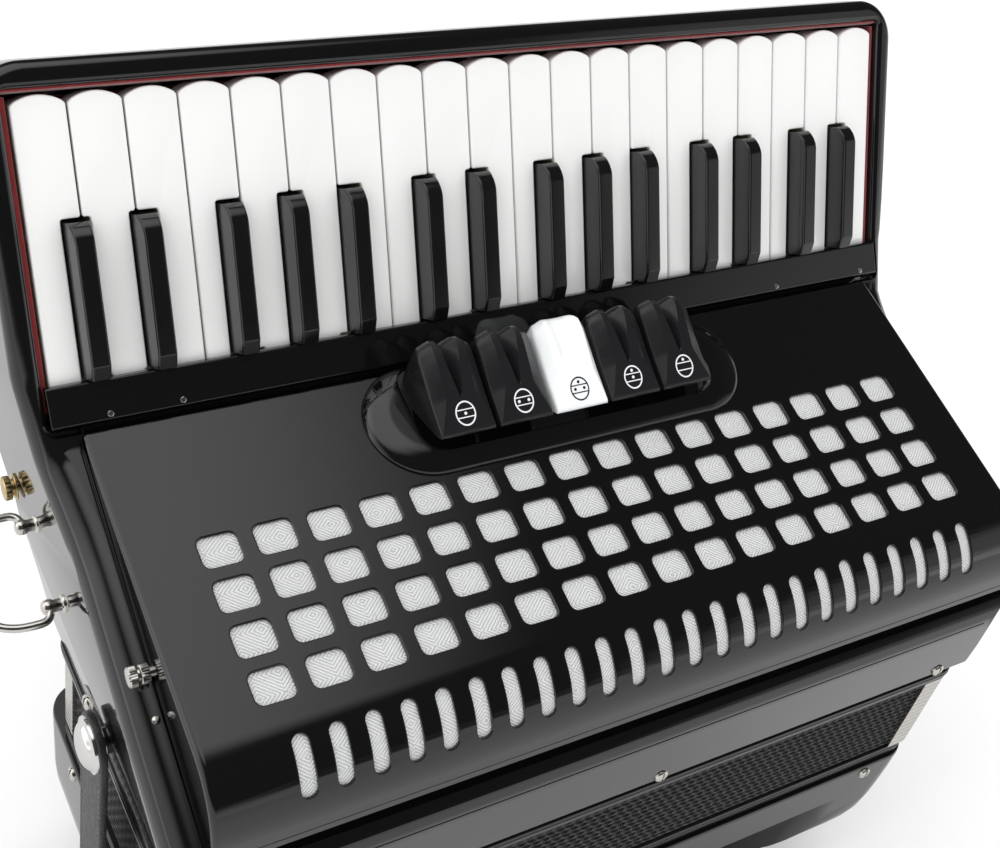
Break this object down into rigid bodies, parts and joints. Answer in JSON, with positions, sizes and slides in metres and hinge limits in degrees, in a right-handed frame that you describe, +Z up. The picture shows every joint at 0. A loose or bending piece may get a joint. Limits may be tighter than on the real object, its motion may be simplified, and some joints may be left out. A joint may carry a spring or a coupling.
{
  "type": "piano accordion",
  "caption": "Piano accordion with a tilted keyboard wing, windowed grille, register tabs, closed bellows, bass button side and working key levers.",
  "frame": {"origin": "middle of the footprint on the ground plane, under the bass-side feet", "axes": "+X along the keyboard towards the low (chin) end, -Y the front with grille and bass buttons, +Z up along the bellows travel, treble side on top"},
  "size_m": [0.4616, 0.23, 0.3952],
  "materials": {
    "lacquer": "high-gloss black celluloid lacquer",
    "white_key": "polished white key plastic",
    "black_key": "polished black key plastic",
    "register_black": "semi-gloss black plastic",
    "register_white": "polished white plastic",
    "grille_cloth": "silver woven cloth with an embossed lattice",
    "bellows_cloth": "black bellows cloth with a grey woven chevron",
    "satin_black": "satin black",
    "nickel": "polished nickel",
    "wood": "fine-grained spruce, clear matt finish",
    "leather": "black grained leather",
    "button": "polished cream plastic"
  },
  "bodies": {
    "bass_side": {"bass_casing": "lacquer", "bass_bellows_frame": "satin_black", "bass_button_board": "lacquer", "bass_cover": "satin_black", "bass_strap": "leather", "bass_reed_block": "wood", "bellows": "bellows_cloth"},
    "treble_side": {"treble_casing": "lacquer", "grille_cover": "lacquer", "grille_cloth": "grille_cloth", "fallboard": "lacquer", "key_axle": "nickel", "treble_soundboard": "wood", "treble_reed_block": "wood", "treble_bellows_frame": "satin_black"},
    "bass_button_set": {"bass_buttons": "button"},
    "air_button_body": {"air_button": "nickel"},
    "bellows_strap_left_body": {"bellows_strap_left": "leather"},
    "bellows_strap_right_body": {"bellows_strap_right": "leather"},
    "strap_ring_left_body": {"strap_ring_left": "nickel"},
    "strap_ring_right_body": {"strap_ring_right": "nickel"},
    "white_key_01_body": {"white_key_01": "white_key"},
    "white_key_02_body": {"white_key_02": "white_key"},
    "white_key_03_body": {"white_key_03": "white_key"},
    "white_key_04_body": {"white_key_04": "white_key"},
    "white_key_05_body": {"white_key_05": "white_key"},
    "white_key_06_body": {"white_key_06": "white_key"},
    "white_key_07_body": {"white_key_07": "white_key"},
    "white_key_08_body": {"white_key_08": "white_key"},
    "white_key_09_body": {"white_key_09": "white_key"},
    "white_key_10_body": {"white_key_10": "white_key"},
    "white_key_11_body": {"white_key_11": "white_key"},
    "white_key_12_body": {"white_key_12": "white_key"},
    "white_key_13_body": {"white_key_13": "white_key"},
    "white_key_14_body": {"white_key_14": "white_key"},
    "white_key_15_body": {"white_key_15": "white_key"},
    "white_key_16_body": {"white_key_16": "white_key"},
    "white_key_17_body": {"white_key_17": "white_key"},
    "white_key_18_body": {"white_key_18": "white_key"},
    "white_key_19_body": {"white_key_19": "white_key"},
    "white_key_20_body": {"white_key_20": "white_key"},
    "black_key_01_body": {"black_key_01": "black_key"},
    "black_key_02_body": {"black_key_02": "black_key"},
    "black_key_03_body": {"black_key_03": "black_key"},
    "black_key_04_body": {"black_key_04": "black_key"},
    "black_key_05_body": {"black_key_05": "black_key"},
    "black_key_06_body": {"black_key_06": "black_key"},
    "black_key_07_body": {"black_key_07": "black_key"},
    "black_key_08_body": {"black_key_08": "black_key"},
    "black_key_09_body": {"black_key_09": "black_key"},
    "black_key_10_body": {"black_key_10": "black_key"},
    "black_key_11_body": {"black_key_11": "black_key"},
    "black_key_12_body": {"black_key_12": "black_key"},
    "black_key_13_body": {"black_key_13": "black_key"},
    "black_key_14_body": {"black_key_14": "black_key"},
    "register_tab_1_body": {"register_tab_1": "register_black"},
    "register_tab_2_body": {"register_tab_2": "register_black"},
    "register_tab_3_body": {"register_tab_3": "register_white"},
    "register_tab_4_body": {"register_tab_4": "register_black"},
    "register_tab_5_body": {"register_tab_5": "register_black"}
  },
  "joints": [
    {"name": "bellows_slide", "type": "slide", "parent": "bass_side", "child": "treble_side", "axis": [0, 0, 1], "range_m": [0, 0.3], "deforming": ["bellows"]},
    {"name": "white_key_01_hinge", "type": "hinge", "parent": "treble_side", "child": "white_key_01_body", "pos_m": [0, 0.04404, 0.27733], "axis": [-1, 0, 0], "range_deg": [0, 2.5], "stiffness_Nm_per_rad": 1.2, "springref_deg": -8.59},
    {"name": "white_key_02_hinge", "type": "hinge", "parent": "treble_side", "child": "white_key_02_body", "pos_m": [0, 0.04404, 0.27733], "axis": [-1, 0, 0], "range_deg": [0, 2.5], "stiffness_Nm_per_rad": 1.2, "springref_deg": -8.59},
    {"name": "white_key_03_hinge", "type": "hinge", "parent": "treble_side", "child": "white_key_03_body", "pos_m": [0, 0.04404, 0.27733], "axis": [-1, 0, 0], "range_deg": [0, 2.5], "stiffness_Nm_per_rad": 1.2, "springref_deg": -8.59},
    {"name": "white_key_04_hinge", "type": "hinge", "parent": "treble_side", "child": "white_key_04_body", "pos_m": [0, 0.04404, 0.27733], "axis": [-1, 0, 0], "range_deg": [0, 2.5], "stiffness_Nm_per_rad": 1.2, "springref_deg": -8.59},
    {"name": "white_key_05_hinge", "type": "hinge", "parent": "treble_side", "child": "white_key_05_body", "pos_m": [0, 0.04404, 0.27733], "axis": [-1, 0, 0], "range_deg": [0, 2.5], "stiffness_Nm_per_rad": 1.2, "springref_deg": -8.59},
    {"name": "white_key_06_hinge", "type": "hinge", "parent": "treble_side", "child": "white_key_06_body", "pos_m": [0, 0.04404, 0.27733], "axis": [-1, 0, 0], "range_deg": [0, 2.5], "stiffness_Nm_per_rad": 1.2, "springref_deg": -8.59},
    {"name": "white_key_07_hinge", "type": "hinge", "parent": "treble_side", "child": "white_key_07_body", "pos_m": [0, 0.04404, 0.27733], "axis": [-1, 0, 0], "range_deg": [0, 2.5], "stiffness_Nm_per_rad": 1.2, "springref_deg": -8.59},
    {"name": "white_key_08_hinge", "type": "hinge", "parent": "treble_side", "child": "white_key_08_body", "pos_m": [0, 0.04404, 0.27733], "axis": [-1, 0, 0], "range_deg": [0, 2.5], "stiffness_Nm_per_rad": 1.2, "springref_deg": -8.59},
    {"name": "white_key_09_hinge", "type": "hinge", "parent": "treble_side", "child": "white_key_09_body", "pos_m": [0, 0.04404, 0.27733], "axis": [-1, 0, 0], "range_deg": [0, 2.5], "stiffness_Nm_per_rad": 1.2, "springref_deg": -8.59},
    {"name": "white_key_10_hinge", "type": "hinge", "parent": "treble_side", "child": "white_key_10_body", "pos_m": [0, 0.04404, 0.27733], "axis": [-1, 0, 0], "range_deg": [0, 2.5], "stiffness_Nm_per_rad": 1.2, "springref_deg": -8.59},
    {"name": "white_key_11_hinge", "type": "hinge", "parent": "treble_side", "child": "white_key_11_body", "pos_m": [0, 0.04404, 0.27733], "axis": [-1, 0, 0], "range_deg": [0, 2.5], "stiffness_Nm_per_rad": 1.2, "springref_deg": -8.59},
    {"name": "white_key_12_hinge", "type": "hinge", "parent": "treble_side", "child": "white_key_12_body", "pos_m": [0, 0.04404, 0.27733], "axis": [-1, 0, 0], "range_deg": [0, 2.5], "stiffness_Nm_per_rad": 1.2, "springref_deg": -8.59},
    {"name": "white_key_13_hinge", "type": "hinge", "parent": "treble_side", "child": "white_key_13_body", "pos_m": [0, 0.04404, 0.27733], "axis": [-1, 0, 0], "range_deg": [0, 2.5], "stiffness_Nm_per_rad": 1.2, "springref_deg": -8.59},
    {"name": "white_key_14_hinge", "type": "hinge", "parent": "treble_side", "child": "white_key_14_body", "pos_m": [0, 0.04404, 0.27733], "axis": [-1, 0, 0], "range_deg": [0, 2.5], "stiffness_Nm_per_rad": 1.2, "springref_deg": -8.59},
    {"name": "white_key_15_hinge", "type": "hinge", "parent": "treble_side", "child": "white_key_15_body", "pos_m": [0, 0.04404, 0.27733], "axis": [-1, 0, 0], "range_deg": [0, 2.5], "stiffness_Nm_per_rad": 1.2, "springref_deg": -8.59},
    {"name": "white_key_16_hinge", "type": "hinge", "parent": "treble_side", "child": "white_key_16_body", "pos_m": [0, 0.04404, 0.27733], "axis": [-1, 0, 0], "range_deg": [0, 2.5], "stiffness_Nm_per_rad": 1.2, "springref_deg": -8.59},
    {"name": "white_key_17_hinge", "type": "hinge", "parent": "treble_side", "child": "white_key_17_body", "pos_m": [0, 0.04404, 0.27733], "axis": [-1, 0, 0], "range_deg": [0, 2.5], "stiffness_Nm_per_rad": 1.2, "springref_deg": -8.59},
    {"name": "white_key_18_hinge", "type": "hinge", "parent": "treble_side", "child": "white_key_18_body", "pos_m": [0, 0.04404, 0.27733], "axis": [-1, 0, 0], "range_deg": [0, 2.5], "stiffness_Nm_per_rad": 1.2, "springref_deg": -8.59},
    {"name": "white_key_19_hinge", "type": "hinge", "parent": "treble_side", "child": "white_key_19_body", "pos_m": [0, 0.04404, 0.27733], "axis": [-1, 0, 0], "range_deg": [0, 2.5], "stiffness_Nm_per_rad": 1.2, "springref_deg": -8.59},
    {"name": "white_key_20_hinge", "type": "hinge", "parent": "treble_side", "child": "white_key_20_body", "pos_m": [0, 0.04404, 0.27733], "axis": [-1, 0, 0], "range_deg": [0, 2.5], "stiffness_Nm_per_rad": 1.2, "springref_deg": -8.59},
    {"name": "black_key_01_hinge", "type": "hinge", "parent": "treble_side", "child": "black_key_01_body", "pos_m": [0, 0.04404, 0.27733], "axis": [-1, 0, 0], "range_deg": [0, 2.5], "stiffness_Nm_per_rad": 1.2, "springref_deg": -8.59},
    {"name": "black_key_02_hinge", "type": "hinge", "parent": "treble_side", "child": "black_key_02_body", "pos_m": [0, 0.04404, 0.27733], "axis": [-1, 0, 0], "range_deg": [0, 2.5], "stiffness_Nm_per_rad": 1.2, "springref_deg": -8.59},
    {"name": "black_key_03_hinge", "type": "hinge", "parent": "treble_side", "child": "black_key_03_body", "pos_m": [0, 0.04404, 0.27733], "axis": [-1, 0, 0], "range_deg": [0, 2.5], "stiffness_Nm_per_rad": 1.2, "springref_deg": -8.59},
    {"name": "black_key_04_hinge", "type": "hinge", "parent": "treble_side", "child": "black_key_04_body", "pos_m": [0, 0.04404, 0.27733], "axis": [-1, 0, 0], "range_deg": [0, 2.5], "stiffness_Nm_per_rad": 1.2, "springref_deg": -8.59},
    {"name": "black_key_05_hinge", "type": "hinge", "parent": "treble_side", "child": "black_key_05_body", "pos_m": [0, 0.04404, 0.27733], "axis": [-1, 0, 0], "range_deg": [0, 2.5], "stiffness_Nm_per_rad": 1.2, "springref_deg": -8.59},
    {"name": "black_key_06_hinge", "type": "hinge", "parent": "treble_side", "child": "black_key_06_body", "pos_m": [0, 0.04404, 0.27733], "axis": [-1, 0, 0], "range_deg": [0, 2.5], "stiffness_Nm_per_rad": 1.2, "springref_deg": -8.59},
    {"name": "black_key_07_hinge", "type": "hinge", "parent": "treble_side", "child": "black_key_07_body", "pos_m": [0, 0.04404, 0.27733], "axis": [-1, 0, 0], "range_deg": [0, 2.5], "stiffness_Nm_per_rad": 1.2, "springref_deg": -8.59},
    {"name": "black_key_08_hinge", "type": "hinge", "parent": "treble_side", "child": "black_key_08_body", "pos_m": [0, 0.04404, 0.27733], "axis": [-1, 0, 0], "range_deg": [0, 2.5], "stiffness_Nm_per_rad": 1.2, "springref_deg": -8.59},
    {"name": "black_key_09_hinge", "type": "hinge", "parent": "treble_side", "child": "black_key_09_body", "pos_m": [0, 0.04404, 0.27733], "axis": [-1, 0, 0], "range_deg": [0, 2.5], "stiffness_Nm_per_rad": 1.2, "springref_deg": -8.59},
    {"name": "black_key_10_hinge", "type": "hinge", "parent": "treble_side", "child": "black_key_10_body", "pos_m": [0, 0.04404, 0.27733], "axis": [-1, 0, 0], "range_deg": [0, 2.5], "stiffness_Nm_per_rad": 1.2, "springref_deg": -8.59},
    {"name": "black_key_11_hinge", "type": "hinge", "parent": "treble_side", "child": "black_key_11_body", "pos_m": [0, 0.04404, 0.27733], "axis": [-1, 0, 0], "range_deg": [0, 2.5], "stiffness_Nm_per_rad": 1.2, "springref_deg": -8.59},
    {"name": "black_key_12_hinge", "type": "hinge", "parent": "treble_side", "child": "black_key_12_body", "pos_m": [0, 0.04404, 0.27733], "axis": [-1, 0, 0], "range_deg": [0, 2.5], "stiffness_Nm_per_rad": 1.2, "springref_deg": -8.59},
    {"name": "black_key_13_hinge", "type": "hinge", "parent": "treble_side", "child": "black_key_13_body", "pos_m": [0, 0.04404, 0.27733], "axis": [-1, 0, 0], "range_deg": [0, 2.5], "stiffness_Nm_per_rad": 1.2, "springref_deg": -8.59},
    {"name": "black_key_14_hinge", "type": "hinge", "parent": "treble_side", "child": "black_key_14_body", "pos_m": [0, 0.04404, 0.27733], "axis": [-1, 0, 0], "range_deg": [0, 2.5], "stiffness_Nm_per_rad": 1.2, "springref_deg": -8.59},
    {"name": "register_tab_1_hinge", "type": "hinge", "parent": "treble_side", "child": "register_tab_1_body", "pos_m": [0, 0.01262, 0.28407], "axis": [1, 0, 0], "range_deg": [0, 6]},
    {"name": "register_tab_2_hinge", "type": "hinge", "parent": "treble_side", "child": "register_tab_2_body", "pos_m": [0, 0.01262, 0.28407], "axis": [1, 0, 0], "range_deg": [0, 6]},
    {"name": "register_tab_3_hinge", "type": "hinge", "parent": "treble_side", "child": "register_tab_3_body", "pos_m": [0, 0.01262, 0.28407], "axis": [1, 0, 0], "range_deg": [0, 6]},
    {"name": "register_tab_4_hinge", "type": "hinge", "parent": "treble_side", "child": "register_tab_4_body", "pos_m": [0, 0.01262, 0.28407], "axis": [1, 0, 0], "range_deg": [0, 6]},
    {"name": "register_tab_5_hinge", "type": "hinge", "parent": "treble_side", "child": "register_tab_5_body", "pos_m": [0, 0.01262, 0.28407], "axis": [1, 0, 0], "range_deg": [0, 6]},
    {"name": "bass_button_slide", "type": "slide", "parent": "bass_side", "child": "bass_button_set", "axis": [0, 0.7198, 0.6941], "range_m": [0, 0.004], "stiffness_N_per_m": 600, "springref_m": -0.006},
    {"name": "air_button_slide", "type": "slide", "parent": "bass_side", "child": "air_button_body", "axis": [0, 0, 1], "range_m": [0, 0.003], "stiffness_N_per_m": 400, "springref_m": -0.004},
    {"name": "bellows_strap_left_swing", "type": "hinge", "parent": "bass_side", "child": "bellows_strap_left_body", "pos_m": [-0.197, -0.026, 0.077], "axis": [-1, 0, 0], "range_deg": [0, 90]},
    {"name": "bellows_strap_right_swing", "type": "hinge", "parent": "bass_side", "child": "bellows_strap_right_body", "pos_m": [0.197, -0.026, 0.077], "axis": [-1, 0, 0], "range_deg": [0, 90]},
    {"name": "strap_ring_left_swing", "type": "hinge", "parent": "treble_side", "child": "strap_ring_left_body", "pos_m": [-0.2055, 0.046, 0.228], "axis": [0, -0.9749, -0.2228], "range_deg": [-50, 50]},
    {"name": "strap_ring_right_swing", "type": "hinge", "parent": "treble_side", "child": "strap_ring_right_body", "pos_m": [0.2055, 0.046, 0.228], "axis": [0, 0.9749, 0.2228], "range_deg": [-50, 50]}
  ]
}
